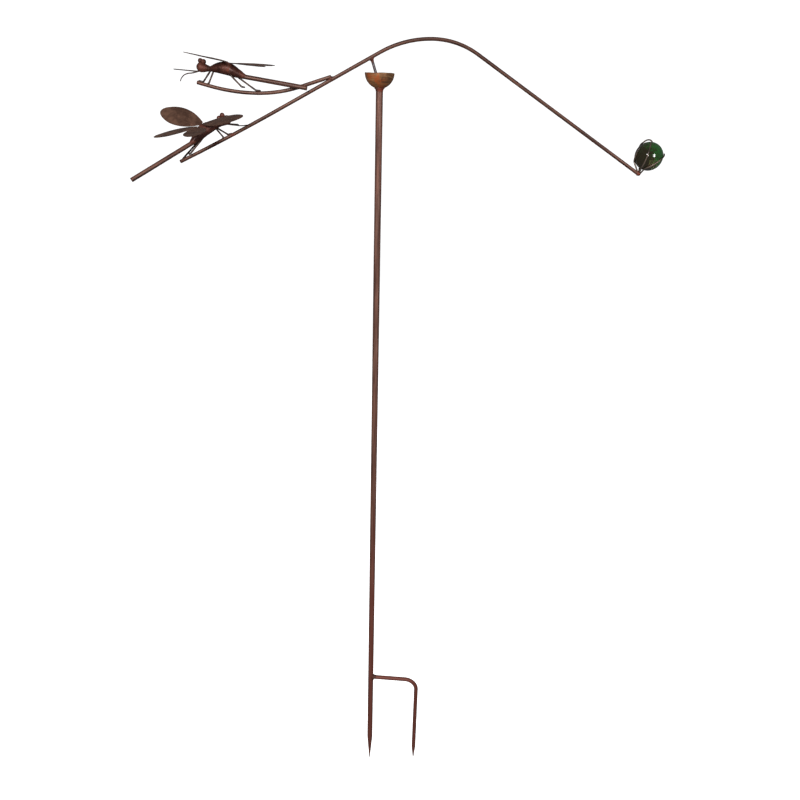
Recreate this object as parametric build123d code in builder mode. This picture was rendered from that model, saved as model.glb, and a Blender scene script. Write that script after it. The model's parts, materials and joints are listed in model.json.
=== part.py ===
from build123d import *
import os

# Kinetic garden balancer. A two-legged stake holds up a cup, and a bent arm stands in the cup on
# one pin, with two dragonflies on its left and a caged glass ball on its right to balance them.
# Millimetres, +Z up, origin on the pole's axis at the ground line, arm in the XZ plane.

os.makedirs("parts", exist_ok=True)

# ---- stake ----------------------------------------------------------------------------------
POLE_R = 12.7 / 2
POLE_BORE_R = POLE_R - 1.5
SPIKE_SHOULDER = -180.0  # the ground spike tapers from here down
SPIKE_TIP = -250.0
SPIGOT = 25.0  # length of the spike's plug inside the pole
WELD_PREP = 0.6  # chamfer on both edges where pole and spike meet

PRONG_R = 9.52 / 2
PRONG_Z = 9.3  # height of the cross bar at the pole
PRONG_BAR = 82.0
PRONG_SLOPE = 3.5  # the bar drops by this many degrees away from the pole
PRONG_BEND_R = 30.0
PRONG_SHOULDER = -209.0
PRONG_TIP = -246.0
TIP_BLUNT_R = 0.8

CUP_R = 26.0
CUP_WALL = 2.0
CUP_Z = 1345.0  # the cup's rim, and the centre of its sphere

# ---- pivot ----------------------------------------------------------------------------------
TIP_R = 3.0  # ball on the pin's lower end
GAP = 0.3  # running clearance round the ball
PIVOT_Z = CUP_Z - (CUP_R - CUP_WALL) + TIP_R + GAP
PIN_R = 2.5
PIN_LENGTH = 46.6
PIN_LEAN = 18.6  # degrees from vertical, toward -X, at rest

# ---- rocker, measured from the pivot ----------------------------------------------------------
ROD_R = 6.35 / 2
ARM_APEX = (91.0, 76.0)
ARM_LEFT_R, ARM_LEFT_DROP, ARM_LEFT_RUN = 190.0, 28.55, 205.0
ARM_TIP_R, ARM_TIP_LIFT = 4300.0, 2.7  # beyond its straight run the left side lifts a little
ARM_RIGHT_R, ARM_RIGHT_DROP, ARM_RIGHT_RUN = 148.0, 32.05, 358.5
BRANCH_LOW = (-218.0, -18.2)  # lowest point of the branch's sag
BRANCH_TIP_R, BRANCH_TIP_RISE, BRANCH_TIP_RUN = 340.0, 13.5, 23.0
BRANCH_ROOT_R, BRANCH_ROOT_RISE, BRANCH_ROOT_RUN = 260.0, 18.2, 55.0

BALL_R = 25.0
BALL_AT = (487.3, 0, -105.3)
CLAW_R = 1.4
CLAW_SEAT = BALL_R + CLAW_R + 0.1  # from the ball's centre to a claw's own centre line

# ---- dragonflies ------------------------------------------------------------------------------
TAIL_R = 7.9 / 2
TAIL_BORE_R = TAIL_R - 0.85
TAIL_FRONT = -4.0  # along the body, from its origin on the tail's axis under the thorax
SHELL = 1.2  # wall of the hollow thorax
# stations along the thorax: (forward, underside, top, width)
THORAX = (
    (-30, -1.5, 3.5, 7),
    (-24, -3.2, 7, 13),
    (-15, -3.5, 12, 18),
    (-4, -3.2, 17.2, 22),
    (7, -2.6, 18.8, 23),
    (18, -2.0, 16.6, 20),
    (27, -1.7, 12.0, 15),
    (34, -1.5, 7.0, 9),
)
HEAD_BACK, HEAD_Z, HEAD_LENGTH, HEAD_R, NECK_R = 33.0, 2.7, 25.0, 8.2, 4.0
EYE_R = 4.4
WING_LENGTH, WING_WIDTH, WING_ROOT, WING_T = 88.0, 39.0, 7.0, 0.8
LEG_R = 1.5
ANTENNA_R = 1.1

SIDE = Plane(origin=(0, 0, PIVOT_Z), x_dir=(1, 0, 0), z_dir=(0, -1, 0))
PIVOT = Vector(0, 0, PIVOT_Z)


def save(part, name):
    """Label one finished piece and write its file."""
    part.label = name
    export_step(part, f"parts/{name}.step")


def round_bar(path, radius):
    """Inside a part: a round bar along a path."""
    with BuildSketch(Plane(origin=path @ 0, z_dir=path % 0)) as section:
        Circle(radius)
    sweep(section.sketch, path=path, transition=Transition.ROUND)


def bent_wire(edges, radius):
    """Inside a part: round wire along touching edges, with a rounded knee where two of them meet."""
    for edge in edges:
        round_bar(Wire([edge]), radius)
    for edge in edges[1:]:
        with Locations(edge @ 0):
            Sphere(radius)


def cut(*solids):
    """Inside a part: trim it to the pieces that it is welded to."""
    for solid in solids:
        add(solid, mode=Mode.SUBTRACT)


def flare(plane, start, end, small_r, large_r):
    """Inside a part: a weld collar round the plane's Z axis, wide at the end."""
    with BuildSketch(Plane(origin=plane.origin, x_dir=plane.x_dir, z_dir=-plane.y_dir)) as profile:
        with BuildLine():
            Line((0, start), (small_r, start))
            ThreePointArc(
                (small_r, start),
                ((small_r + large_r) / 2 - 0.12 * (large_r - small_r), start + 0.62 * (end - start)),
                (large_r, end),
            )
            Line((large_r, end), (0, end))
            Line((0, end), (0, start))
        make_face()
    revolve(profile.sketch, axis=Axis(plane.origin, plane.z_dir))


# ---- stake ----------------------------------------------------------------------------------
with BuildPart() as pole_core:
    Cylinder(POLE_R, CUP_Z, align=(Align.CENTER, Align.CENTER, Align.MIN))

with BuildPart(Plane.XY.offset(CUP_Z)) as cup_core:
    Sphere(CUP_R, arc_size2=0, align=(Align.CENTER, Align.CENTER, Align.MAX))

with BuildPart() as pole:
    with BuildSketch(Plane.XY.offset(WELD_PREP)):
        Circle(POLE_R)
        Circle(POLE_BORE_R, mode=Mode.SUBTRACT)
    extrude(amount=CUP_Z - CUP_R + 1)
    chamfer(pole.edges().group_by(Axis.Z)[0].sort_by(SortBy.RADIUS)[-1], WELD_PREP)
    cut(cup_core.part)
save(pole.part, "pole")

with BuildPart() as pole_spike:
    with BuildSketch(Plane.XZ):
        with BuildLine():
            Polyline(
                (0, SPIKE_TIP),
                (TIP_BLUNT_R, SPIKE_TIP),
                (POLE_R, SPIKE_SHOULDER),
                (POLE_R, 0),
                (POLE_R - WELD_PREP, WELD_PREP),
                (POLE_BORE_R, WELD_PREP),
                (POLE_BORE_R, SPIGOT),
                (0, SPIGOT),
                (0, SPIKE_TIP),
            )
        make_face()
    revolve(axis=Axis.Z)
save(pole_spike.part, "pole_spike")

with BuildPart() as prong_bar:
    with BuildLine(Plane.XZ) as prong_line:
        bar = PolarLine((0, PRONG_Z), PRONG_BAR, -PRONG_SLOPE)
        bend = JernArc(bar @ 1, bar % 1, PRONG_BEND_R, PRONG_SLOPE - 90)
        PRONG_X = (bend @ 1).X
        Line((PRONG_X, (bend @ 1).Z), (PRONG_X, PRONG_SHOULDER))
    round_bar(prong_line.wire(), PRONG_R)
    with BuildSketch(Plane.XY.offset(PRONG_SHOULDER)):
        with Locations((PRONG_X, 0)):
            Circle(PRONG_R)
    with BuildSketch(Plane.XY.offset(PRONG_TIP)):
        with Locations((PRONG_X, 0)):
            Circle(TIP_BLUNT_R)
    loft()

with BuildPart() as foot_prong:
    add(prong_bar.part)
    cut(pole_core.part)
save(foot_prong.part, "foot_prong")

with BuildPart() as foot_prong_weld:
    away_from_pole = Plane(origin=(0, 0, PRONG_Z), x_dir=(0, 1, 0), z_dir=(-1, 0, 0))
    flare(away_from_pole, -14, -2, PRONG_R, PRONG_R + 3.2)
    cut(pole_core.part, prong_bar.part)
save(foot_prong_weld.part, "foot_prong_weld")

with BuildPart(Plane.XY.offset(CUP_Z)) as cup:
    Sphere(CUP_R, arc_size2=0, align=(Align.CENTER, Align.CENTER, Align.MAX))
    Sphere(
        CUP_R - CUP_WALL,
        arc_size2=0,
        align=(Align.CENTER, Align.CENTER, Align.MAX),
        mode=Mode.SUBTRACT,
    )
save(cup.part, "cup")

with BuildPart() as cup_weld:
    cup_base = Plane.XY.offset(CUP_Z - CUP_R)
    flare(cup_base, -7, 3.2, POLE_R, POLE_R + 5.2)
    cut(pole_core.part, cup_core.part)
save(cup_weld.part, "cup_weld")

# ---- pivot: the ball on the pin's end turns in the cup's lowest point -----------------------------
with BuildPart(Plane.XY.offset(PIVOT_Z)) as pivot_tip:
    Sphere(TIP_R)
save(pivot_tip.part, "pivot_tip")

# ---- rocker: arm, branch and pin -----------------------------------------------------------------
with BuildPart() as arm:
    with BuildLine(SIDE) as arm_line:
        left_bend = JernArc(ARM_APEX, (-1, 0), ARM_LEFT_R, ARM_LEFT_DROP)
        left_run = PolarLine(left_bend @ 1, ARM_LEFT_RUN, 180 + ARM_LEFT_DROP)
        JernArc(left_run @ 1, left_run % 1, ARM_TIP_R, -ARM_TIP_LIFT)
        right_bend = JernArc(ARM_APEX, (1, 0), ARM_RIGHT_R, -ARM_RIGHT_DROP)
        right_run = PolarLine(right_bend @ 1, ARM_RIGHT_RUN, -ARM_RIGHT_DROP)
    round_bar(arm_line.wire(), ROD_R)
save(arm.part, "arm")

with BuildPart() as branch:
    with BuildLine(SIDE) as branch_line:
        tip_bend = JernArc(BRANCH_LOW, (-1, 0), BRANCH_TIP_R, -BRANCH_TIP_RISE)
        PolarLine(tip_bend @ 1, BRANCH_TIP_RUN, 180 - BRANCH_TIP_RISE)
        root_bend = JernArc(BRANCH_LOW, (1, 0), BRANCH_ROOT_R, BRANCH_ROOT_RISE)
        root_run = PolarLine(root_bend @ 1, BRANCH_ROOT_RUN, BRANCH_ROOT_RISE)
    round_bar(branch_line.wire(), ROD_R)
    cut(arm.part)
save(branch.part, "branch")

with BuildPart() as branch_weld:
    joint = Plane(origin=root_run @ 1 - SIDE.y_dir * ROD_R, x_dir=(0, 1, 0), z_dir=right_bend % 1)
    with Locations(joint):
        Sphere(ROD_R * 1.55)
    cut(arm.part, branch.part)
save(branch_weld.part, "branch_weld")

pin_axis = Plane(origin=PIVOT, x_dir=(0, 1, 0), z_dir=Vector(0, 0, 1).rotate(Axis.Y, -PIN_LEAN))
with BuildPart() as pin_core:
    with BuildSketch(pin_axis):
        Circle(PIN_R)
    extrude(amount=PIN_LENGTH)

with BuildPart() as pivot_pin:
    add(pin_core.part)
    with Locations(PIVOT):
        Sphere(TIP_R + GAP, mode=Mode.SUBTRACT)
    cut(arm.part)
save(pivot_pin.part, "pivot_pin")

with BuildPart() as pivot_pin_weld:
    flare(pin_axis, PIN_LENGTH - 8.5, PIN_LENGTH - 1.5, PIN_R, PIN_R + 2.6)
    cut(arm.part, pin_core.part)
save(pivot_pin_weld.part, "pivot_pin_weld")

# ---- glass ball in its claws ------------------------------------------------------------------
BALL = PIVOT + Vector(BALL_AT)
arm_end = right_run @ 1


def round_ball(longitude, latitude, lift=0.0):
    """A point on the claws' sphere round the ball."""
    turned = Vector(CLAW_SEAT + lift, 0, 0).rotate(Axis.Y, -latitude)
    return BALL + turned.rotate(Axis.Z, longitude)


# name: (start beside the arm's end, then longitude and latitude of foot, middle and end)
CLAWS = {
    "front": ((0.2, -2.0, 2.2), (222, -45), (244, -9), (253, 64)),
    "right": ((2.2, -1.2, 1.2), (240, -49), (305, -9), (354, 11)),
    "left": ((-1.8, -0.6, 2.6), (172, -25), (192, -2), (202, 33)),
    "back": ((0.4, 2.2, 2.4), (120, -46), (128, 25), (163, 62)),
}
HOOK_RISE = 2.0  # the back claw ends in a small hook that comes down on the ball's top

with BuildPart(Location(BALL)) as glass_ball:
    Sphere(BALL_R)
save(glass_ball.part, "glass_ball")

claws = []
for side, (start, foot, middle, end) in CLAWS.items():
    with BuildPart() as claw:
        with BuildLine() as claw_line:
            Line(arm_end + Vector(start), round_ball(*foot))
            seat = ThreePointArc(round_ball(*foot), round_ball(*middle), round_ball(*end))
            if side == "back":
                ThreePointArc(seat @ 1, round_ball(200, 81.5, HOOK_RISE), round_ball(270, 73))
        bent_wire(claw_line.edges(), CLAW_R)
        cut(arm.part, *claws)
    save(claw.part, f"cage_claw_{side}")
    claws.append(claw.part)

with BuildPart() as cage_weld:
    with Locations(arm_end + Vector(-0.5, 0, 1.2)):
        Sphere(4.6)
    cut(arm.part, glass_ball.part, *claws)
save(cage_weld.part, "cage_weld")


# ---- dragonflies: built in their own frame, X forward, Y to their left, origin on the tail's axis ---
def across(fly, x, z=0.0):
    """Plane across the body at one station, its X axis to the dragonfly's left."""
    return Plane(origin=fly.from_local_coords((x, 0, z)), x_dir=fly.y_dir, z_dir=fly.x_dir)


def station_faces(fly, wall=0.0):
    """Sections along the thorax, pulled in by a wall where they bound its hollow."""
    faces = []
    for x, low, high, width in THORAX:
        height = high - low
        if wall and height < 4 * wall:
            continue
        with BuildSketch(across(fly, x, (low + high) / 2)) as station:
            Ellipse(width / 2 - wall, height / 2 - wall)
        faces.append(station.sketch)
    return faces


def petal(plane, base_width):
    """Inside a part: one wing blank along the plane's X axis, its root at the plane's origin."""
    with BuildSketch(plane) as outline:
        with BuildLine():
            leading = Spline(
                (0, base_width / 2),
                (WING_LENGTH * 0.28, WING_WIDTH * 0.40),
                (WING_LENGTH * 0.57, WING_WIDTH / 2),
                (WING_LENGTH * 0.86, WING_WIDTH * 0.34),
                (WING_LENGTH, 0),
                tangents=((1.0, 0.6), (0.0, -1.0)),
            )
            mirror(leading, about=Plane.XZ)
            Line((0, -base_width / 2), (0, base_width / 2))
        make_face()
    extrude(outline.sketch, amount=WING_T / 2, both=True)


def dragonfly(name, fly, tail_rear, wings, legs, eyes, antennae, perch):
    """One dragonfly: every piece trimmed to those it is welded to, and written to its own file."""
    with BuildPart() as tail_core:
        with BuildSketch(across(fly, tail_rear)) as end:
            Circle(TAIL_R)
        extrude(end.sketch, amount=TAIL_FRONT - tail_rear)
    with BuildPart() as tail:
        add(tail_core.part)
        with BuildSketch(across(fly, tail_rear)) as bore:
            Circle(TAIL_BORE_R)
        extrude(bore.sketch, amount=TAIL_FRONT - tail_rear, mode=Mode.SUBTRACT)
    save(tail.part, f"{name}_tail")

    with BuildPart() as body_core:
        loft(station_faces(fly))
    with BuildPart() as thorax:
        add(body_core.part)
        loft(station_faces(fly, SHELL), mode=Mode.SUBTRACT)
        cut(tail_core.part)
    save(thorax.part, f"{name}_thorax")

    with BuildPart() as head:
        skull = Plane(
            origin=fly.from_local_coords((HEAD_BACK, 0, HEAD_Z)), x_dir=fly.x_dir, z_dir=fly.y_dir
        )
        with BuildSketch(skull) as profile:
            with BuildLine():
                Line((0, 0), (0, NECK_R))
                Spline(
                    (0, NECK_R),
                    (HEAD_LENGTH * 0.62, HEAD_R),
                    (HEAD_LENGTH, 0),
                    tangents=((1.0, 0.2), (0.0, -1.0)),
                )
                Line((HEAD_LENGTH, 0), (0, 0))
            make_face()
        revolve(profile.sketch, axis=Axis(skull.origin, skull.x_dir))
        cut(body_core.part)
    save(head.part, f"{name}_head")

    for side, centre in eyes.items():
        with BuildPart() as eye:
            with Locations(fly.location * Location(centre)):
                Sphere(EYE_R)
            cut(head.part)
        save(eye.part, f"{name}_eye_{side}")

    for side, points in antennae.items():
        with BuildPart() as antenna:
            with BuildLine() as path:
                Polyline(*[fly.from_local_coords(p) for p in points])
            bent_wire(path.edges(), ANTENNA_R)
            cut(head.part)
        save(antenna.part, f"{name}_antenna_{side}")

    carriers = [tail_core.part, body_core.part, head.part, perch]
    for side, (hip, *feet) in legs.items():
        with BuildPart() as leg:
            with BuildLine() as path:
                Polyline(fly.from_local_coords(hip), *[PIVOT + Vector(p) for p in feet])
            bent_wire(path.edges(), LEG_R)
            cut(*carriers)
        save(leg.part, f"{name}_leg_{side}")
        carriers.append(leg.part)

    shoulders = [body_core.part]
    for side, (root, sweep_angle, rise, roll) in wings.items():
        with BuildPart() as wing:
            turned = fly.location * Location(root) * Rotation(0, 0, sweep_angle)
            petal(Plane(turned * Rotation(0, -rise, 0) * Rotation(roll, 0, 0)), WING_ROOT)
            cut(*shoulders)
        save(wing.part, f"{name}_wing_{side}")
        shoulders.append(wing.part)


dragonfly(
    "upper",
    Plane(
        origin=PIVOT + Vector(-262, -3, 11.5),
        x_dir=Vector(-1, 0, 0).rotate(Axis.Y, 8).rotate(Axis.Z, -4),
        z_dir=Vector(0, 0, 1).rotate(Axis.Y, 8).rotate(Axis.Z, -4),
    ),
    tail_rear=-138,
    wings={
        "front_left": ((8, 4.5, 18.6), 59, 3, 0),
        "front_right": ((8, -4.5, 18.6), -46, 1, 0),
        "rear_left": ((-3, 4.5, 17.8), 143, 3.5, 0),
        "rear_right": ((-3, -4.5, 17.8), -131, 5.5, 0),
    },
    legs={
        "front_left": ((32, 3, 0), (-308.3, -1.5, -2.6), (-316.0, -1.5, -0.6)),
        "front_right": ((28.5, -3, 0), (-299.8, 1.5, -5.2), (-302.5, 1.5, -4.4)),
        "rear_left": ((-4, 6, -1), (-239.5, -11, -8.7), (-234, -11, -9.2)),
        "rear_right": ((-6, -4.5, 1.5), (-217, 0, -13.7), (-209, 0, -14.0)),
    },
    eyes={"left": (45, 3.5, 12.4), "right": (53, -3.5, 12.8)},
    antennae={
        "left": ((50, 3, -3), (62, 3, -8.5), (72, 3, -11), (78.5, 3, -14.5), (83, 3, -21), (84, 3, -26)),
        "right": ((50, -3, -2), (56.5, -3.5, -5), (101, -7, -8.5)),
    },
    perch=branch.part,
)

dragonfly(
    "lower",
    Plane(
        origin=PIVOT + Vector(-313, 0, -91.2),
        x_dir=Vector(1, 0, 0).rotate(Axis.Y, -29).rotate(Axis.Z, 28),
        z_dir=Vector(0, 0, 1).rotate(Axis.Y, -29).rotate(Axis.Z, 28),
    ),
    tail_rear=-153,
    wings={
        "front_left": ((8, 4.5, 18.6), 123, 30, -22),
        "front_right": ((8, -4.5, 18.6), -53, -8, 0),
        "rear_left": ((-3, 4.5, 17.8), 141, 10, 3),
        "rear_right": ((-3, -4.5, 17.8), -112, 4, -18),
    },
    legs={
        "front_left": ((27, 3, 0), (-270.5, 1.5, -88.8), (-264, 1.5, -86.5)),
        "front_right": ((24, -3, 0), (-278.2, -2.5, -93.5), (-280.5, -2.5, -95.6)),
        "rear_left": ((-6, 3, -1), (-353.3, 1.0, -130.4), (-356, 1.0, -133.0)),
        "rear_right": ((-4, -5, -1), (-338, -9, -122), (-341, -9, -123.5)),
    },
    eyes={"left": (39.8, 3.1, 11.4), "right": (46, -3, 13.8)},
    antennae={
        "left": ((47, 3, -3.5), (66, 5, -15), (65, 6, -18.5)),
        "right": ((46, -3, -3.5), (64, -12.5, -16), (80, -14.5, -22.5)),
    },
    perch=arm.part,
)
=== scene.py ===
"""Looks for the kinetic garden balancer: forged bars, hammered sheet and a glass ball round the CAD frame.

Sizes below are millimetres in the CAD frame; mesh_object() turns them into metres.
"""

import json
import math

import bpy
import numpy as np
from mathutils import Matrix, Vector, noise


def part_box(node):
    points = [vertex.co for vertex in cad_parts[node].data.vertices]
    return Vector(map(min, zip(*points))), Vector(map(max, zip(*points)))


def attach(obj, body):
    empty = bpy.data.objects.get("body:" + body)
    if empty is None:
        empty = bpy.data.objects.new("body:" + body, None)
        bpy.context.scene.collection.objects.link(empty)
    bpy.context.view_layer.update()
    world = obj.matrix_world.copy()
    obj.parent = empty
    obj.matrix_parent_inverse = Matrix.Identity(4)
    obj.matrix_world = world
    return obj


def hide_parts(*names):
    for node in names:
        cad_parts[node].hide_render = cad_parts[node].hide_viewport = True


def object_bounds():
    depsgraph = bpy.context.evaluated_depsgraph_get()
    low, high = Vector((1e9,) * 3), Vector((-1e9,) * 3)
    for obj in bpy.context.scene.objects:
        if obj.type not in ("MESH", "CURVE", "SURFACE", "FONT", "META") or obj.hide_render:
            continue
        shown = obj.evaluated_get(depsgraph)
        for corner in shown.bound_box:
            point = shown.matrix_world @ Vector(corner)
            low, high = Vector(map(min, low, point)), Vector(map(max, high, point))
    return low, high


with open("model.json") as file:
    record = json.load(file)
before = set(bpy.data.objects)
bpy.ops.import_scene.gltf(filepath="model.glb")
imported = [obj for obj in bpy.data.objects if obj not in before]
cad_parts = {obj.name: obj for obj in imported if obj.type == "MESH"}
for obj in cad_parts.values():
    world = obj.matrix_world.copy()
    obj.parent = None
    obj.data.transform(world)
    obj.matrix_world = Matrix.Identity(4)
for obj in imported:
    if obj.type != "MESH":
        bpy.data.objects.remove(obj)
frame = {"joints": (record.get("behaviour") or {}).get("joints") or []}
cad_bounds = [[float(v) for v in corner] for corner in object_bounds()]

MM = 0.001
X, Y, Z = np.identity(3)

# ---- dimensions, as in the CAD ---------------------------------------------------------------
PIVOT = np.array(frame["joints"][0]["pos_m"]) / MM
POLE_R = 6.35
CUP_R, CUP_WALL, CUP_Z = 26.0, 2.0, 1345.0
SPIKE_SHOULDER, SPIKE_TIP = -180.0, -250.0
PRONG_R, PRONG_Z, PRONG_BAR, PRONG_SLOPE, PRONG_BEND_R = 4.76, 9.3, 82.0, 3.5, 30.0
PRONG_SHOULDER, PRONG_TIP = -209.0, -246.0
TIP_BLUNT_R = 0.8
PIN_R, PIN_LENGTH, PIN_LEAN, TIP_R = 2.5, 46.6, 18.6, 3.0
ROD_R = 3.175
ARM_APEX = (91.0, 76.0)
ARM_LEFT_R, ARM_LEFT_DROP, ARM_LEFT_RUN = 190.0, 28.55, 205.0
ARM_TIP_R, ARM_TIP_LIFT = 4300.0, 2.7
ARM_RIGHT_R, ARM_RIGHT_DROP, ARM_RIGHT_RUN = 148.0, 32.05, 358.5
BRANCH_LOW = (-218.0, -18.2)
BRANCH_TIP_R, BRANCH_TIP_RISE, BRANCH_TIP_RUN = 340.0, 13.5, 23.0
BRANCH_ROOT_R, BRANCH_ROOT_RISE, BRANCH_ROOT_RUN = 260.0, 18.2, 55.0
BALL_R = 25.0
CLAW_R = 1.4
CLAW_SEAT = BALL_R + CLAW_R + 0.1
TAIL_R, TAIL_WALL, TAIL_FRONT = 3.95, 0.85, -4.0
THORAX = (
    (-30, -1.5, 3.5, 7),
    (-24, -3.2, 7, 13),
    (-15, -3.5, 12, 18),
    (-4, -3.2, 17.2, 22),
    (7, -2.6, 18.8, 23),
    (18, -2.0, 16.6, 20),
    (27, -1.7, 12.0, 15),
    (34, -1.5, 7.0, 9),
)
HEAD_BACK, HEAD_Z, HEAD_LENGTH, HEAD_R, NECK_R = 33.0, 2.7, 25.0, 8.2, 4.0
EYE_R = 4.4
WING_LENGTH, WING_WIDTH, WING_ROOT, WING_T = 88.0, 39.0, 7.0, 0.8
WING_CURL = 0.108  # how far the blade's tip lifts
CURL_FROM = 0.75  # share of the blade's length where the curl starts
LEG_R, ANTENNA_R = 1.5, 1.1

# ---- room, in metres
STAGE_R, STAGE_BEND, STAGE_WALL = 7.0, 1.6, 8.0


# ---- small maths -----------------------------------------------------------------------------
def vec(*values):
    return np.array(values, float)


def unit(v):
    return v / np.linalg.norm(v)


def side_view(x, z, y=0.0):
    """A point given in the side view, measured from the pivot."""
    return PIVOT + vec(x, y, z)


def arc_points(start, heading, radius, turn, step=2.0):
    """Points along an arc in the XZ plane that leaves start at a heading. A turn above 0 is to the left."""
    count = max(3, int(abs(math.radians(turn)) * radius / step) + 1)
    sign = 1 if turn > 0 else -1
    h = math.radians(heading)
    centre = vec(start[0] - sign * radius * math.sin(h), start[1] + sign * radius * math.cos(h))
    angles = h - sign * math.pi / 2 + np.radians(np.linspace(0, turn, count))
    return [(centre[0] + radius * math.cos(a), centre[1] + radius * math.sin(a)) for a in angles]


def line_points(start, heading, length, step=3.0):
    """Points along a straight run in the XZ plane."""
    h = math.radians(heading)
    count = max(2, int(length / step) + 1)
    return [(start[0] + d * math.cos(h), start[1] + d * math.sin(h)) for d in np.linspace(0, length, count)]


def oval(centre, across, up, half_across, half_up, count):
    """Points round an oval, starting on its across axis."""
    turns = np.linspace(0, 2 * math.pi, count + 1)[:-1]
    return [centre + across * half_across * math.cos(q) + up * half_up * math.sin(q) for q in turns]


def round_profile(radius, count, first=0.0, last=math.pi):
    """A circle's profile as (radius, height); 0 is its lowest point and pi its highest."""
    return [(radius * math.sin(q), -radius * math.cos(q)) for q in np.linspace(first, last, count)]


def bar_between(points, step=2.0):
    """Even points along straight runs."""
    out = [points[0]]
    for a, b in zip(points, points[1:]):
        count = max(1, int(np.linalg.norm(b - a) / step))
        out += [a + (b - a) * (i + 1) / count for i in range(count)]
    return np.array(out)


def soft_path(points, step=1.0, bend=2.5):
    """Straight runs joined by small round bends, as in bent wire."""
    points = [np.array(p, float) for p in points]
    out = [points[0]]
    for before, corner, after in zip(points, points[1:], points[2:]):
        reach = min(bend, np.linalg.norm(corner - before) * 0.45, np.linalg.norm(after - corner) * 0.45)
        a = corner + unit(before - corner) * reach
        b = corner + unit(after - corner) * reach
        for t in np.linspace(0, 1, 7):
            out.append((1 - t) ** 2 * a + 2 * t * (1 - t) * corner + t**2 * b)
    out.append(points[-1])
    return bar_between(out, step)


def spline(knots, values, a, b, at):
    """Solves the spline whose end rows are filled in, and reads it."""
    n = len(knots)
    h = np.diff(knots)
    for i in range(1, n - 1):
        a[i, i - 1], a[i, i], a[i, i + 1] = h[i - 1], 2 * (h[i - 1] + h[i]), h[i]
        b[i] = 6 * ((values[i + 1] - values[i]) / h[i] - (values[i] - values[i - 1]) / h[i - 1])
    m = np.linalg.solve(a, b)
    out = []
    for x in np.atleast_1d(at):
        i = int(np.clip(np.searchsorted(knots, x) - 1, 0, n - 2))
        t, u = (x - knots[i]), (knots[i + 1] - x)
        out.append(
            (m[i] * u**3 + m[i + 1] * t**3) / (6 * h[i])
            + (values[i] / h[i] - m[i] * h[i] / 6) * u
            + (values[i + 1] / h[i] - m[i + 1] * h[i] / 6) * t
        )
    return np.array(out)


def cubic(knots, values, at):
    """Natural cubic spline through values at knots, read at other places."""
    knots, values = np.array(knots, float), np.array(values, float)
    n = len(knots)
    a = np.zeros((n, n))
    b = np.zeros(n)
    a[0, 0] = a[-1, -1] = 1
    return spline(knots, values, a, b, at)


def clamped(knots, values, first, last, at):
    """Cubic spline through values at knots, with a given slope at each end."""
    n = len(knots)
    h = np.diff(knots)
    a = np.zeros((n, n))
    b = np.zeros(n)
    a[0, 0], a[0, 1] = 2 * h[0], h[0]
    b[0] = 6 * ((values[1] - values[0]) / h[0] - first)
    a[-1, -1], a[-1, -2] = 2 * h[-1], h[-1]
    b[-1] = 6 * (last - (values[-1] - values[-2]) / h[-1])
    return spline(knots, values, a, b, at)


def waver(point, scale, seed=0.0):
    """Smooth noise from -1 to 1 at a point in millimetres; scale is the size of its lumps."""
    x, y, z = point
    return noise.noise(Vector((x / scale + seed, y / scale - seed, z / scale + 7 * seed)))


# ---- mesh building ---------------------------------------------------------------------------
def mesh_object(name, verts, faces, material, body, slot, nodes, bar=None, rim=None):
    """A finished piece: its mesh in metres, its material, its body and the CAD nodes it stands for."""
    mesh = bpy.data.meshes.new(name)
    mesh.from_pydata([tuple(v * MM) for v in verts], [], faces)
    mesh.validate()
    mesh.shade_smooth()
    bar = verts if bar is None else bar
    straight = mesh.attributes.new("bar", "FLOAT_VECTOR", "POINT")
    straight.data.foreach_set("vector", (np.array(bar, float) * MM).ravel())
    edge = mesh.attributes.new("rim", "FLOAT", "POINT")
    edge.data.foreach_set("value", np.zeros(len(verts)) if rim is None else np.array(rim, float))
    mesh.materials.append(material)
    obj = bpy.data.objects.new(name, mesh)
    bpy.context.scene.collection.objects.link(obj)
    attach(obj, body)
    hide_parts(*nodes)
    return obj


def grid_faces(rings, sides):
    """The faces between rings of vertices that follow one another."""
    faces = []
    for i in range(rings - 1):
        for j in range(sides):
            k = (j + 1) % sides
            faces.append((i * sides + j, i * sides + k, (i + 1) * sides + k, (i + 1) * sides + j))
    return faces


def fan_faces(base, sides, centre, flipped):
    """The faces that close a ring of vertices with one more vertex at its centre."""
    pairs = [(base + j, base + (j + 1) % sides) for j in range(sides)]
    return [(b, a, centre) if flipped else (a, b, centre) for a, b in pairs]


def carried_frames(points, reference):
    """A side and an up vector at each point, carried along without twist."""
    tangents = np.gradient(points, axis=0)
    tangents /= np.linalg.norm(tangents, axis=1)[:, None]
    side = np.cross(tangents[0], reference)
    sides = []
    for t in tangents:
        side = unit(side - t * side.dot(t))
        sides.append(side)
    sides = np.array(sides)
    return tangents, sides, np.cross(sides, tangents)


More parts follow.
